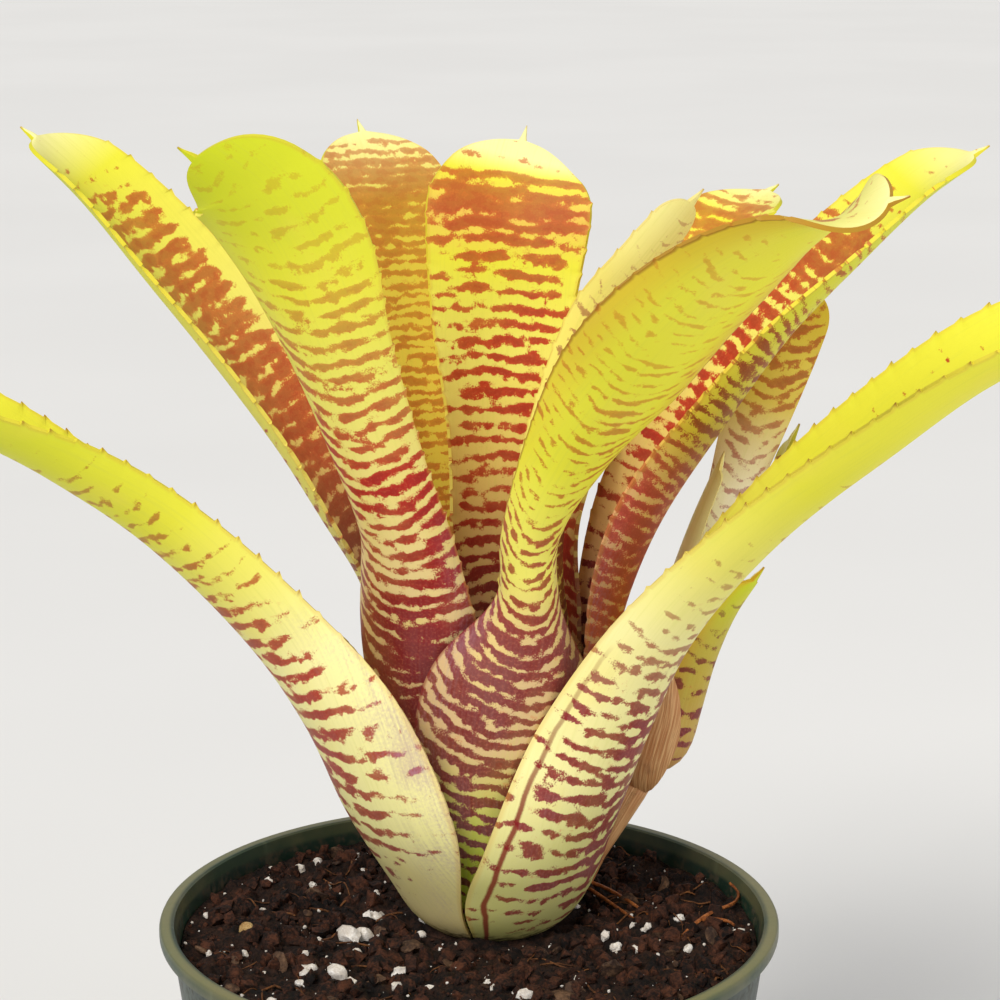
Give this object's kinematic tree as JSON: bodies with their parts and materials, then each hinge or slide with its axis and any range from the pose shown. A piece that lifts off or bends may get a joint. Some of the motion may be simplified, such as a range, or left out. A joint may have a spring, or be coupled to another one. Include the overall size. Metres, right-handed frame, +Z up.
{
  "type": "potted neoregelia",
  "caption": "Bromeliad rosette of arching, toothed, red-banded yellow leaves with an offset on a stolon, in a round tapered plastic pot of bark mix.",
  "frame": {"origin": "centre of the pot's underside, on the surface it stands on", "axes": "+Z up along the pot's axis; -Y towards the side shown in the picture, +X to that view's right"},
  "size_m": [0.2273, 0.1946, 0.2322],
  "materials": {
    "pot": "dark green moulded plastic with a soft sheen, the rim's lip a little more olive",
    "soil": "matt dark brown bark and peat mix with white perlite grains",
    "stem": "matt, dry and woody",
    "stolon": "matt, dry brown papery bracts",
    "leaf_low_left": "waxy leaf, yellow to lime with irregular brick-red cross bands, red-tipped teeth on both margins",
    "leaf_low_right": "waxy leaf, yellow to lime with irregular brick-red cross bands, red-tipped teeth on both margins",
    "leaf_low_back": "waxy leaf, yellow to lime with irregular brick-red cross bands, red-tipped teeth on both margins",
    "leaf_front": "waxy leaf, yellow to lime with irregular brick-red cross bands, red-tipped teeth on both margins",
    "leaf_upper_left": "waxy leaf, yellow to lime with irregular brick-red cross bands, red-tipped teeth on both margins",
    "leaf_upper_right": "waxy leaf, yellow to lime with irregular brick-red cross bands, red-tipped teeth on both margins",
    "leaf_front_left": "waxy leaf, yellow to lime with irregular brick-red cross bands, red-tipped teeth on both margins",
    "leaf_back_left": "waxy leaf, yellow to lime with irregular brick-red cross bands, red-tipped teeth on both margins",
    "leaf_back_right": "waxy leaf, yellow to lime with irregular brick-red cross bands, red-tipped teeth on both margins",
    "leaf_back": "waxy leaf, yellow to lime with irregular brick-red cross bands, red-tipped teeth on both margins",
    "leaf_inner_right": "waxy leaf, yellow to lime with irregular brick-red cross bands, red-tipped teeth on both margins",
    "leaf_heart_outer": "waxy leaf, yellow to lime with irregular brick-red cross bands, red-tipped teeth on both margins",
    "leaf_heart_inner": "waxy leaf, yellow to lime with irregular brick-red cross bands, red-tipped teeth on both margins",
    "pup_leaf_low": "waxy leaf, yellow to lime with irregular brick-red cross bands, red-tipped teeth on both margins",
    "pup_leaf_tall": "waxy leaf, yellow to lime with irregular brick-red cross bands, red-tipped teeth on both margins",
    "pup_leaf_left": "waxy leaf, yellow to lime with irregular brick-red cross bands, red-tipped teeth on both margins",
    "pup_leaf_right": "waxy leaf, yellow to lime with irregular brick-red cross bands, red-tipped teeth on both margins"
  },
  "bodies": {
    "root": {"pot": "pot", "soil": "soil", "stem": "stem", "stolon": "stolon", "leaf_low_left": "leaf_low_left", "leaf_low_right": "leaf_low_right", "leaf_low_back": "leaf_low_back", "leaf_front": "leaf_front", "leaf_upper_left": "leaf_upper_left", "leaf_upper_right": "leaf_upper_right", "leaf_front_left": "leaf_front_left", "leaf_back_left": "leaf_back_left", "leaf_back_right": "leaf_back_right", "leaf_back": "leaf_back", "leaf_inner_right": "leaf_inner_right", "leaf_heart_outer": "leaf_heart_outer", "leaf_heart_inner": "leaf_heart_inner", "pup_leaf_low": "pup_leaf_low", "pup_leaf_tall": "pup_leaf_tall", "pup_leaf_left": "pup_leaf_left", "pup_leaf_right": "pup_leaf_right"}
  },
  "joints": []
}
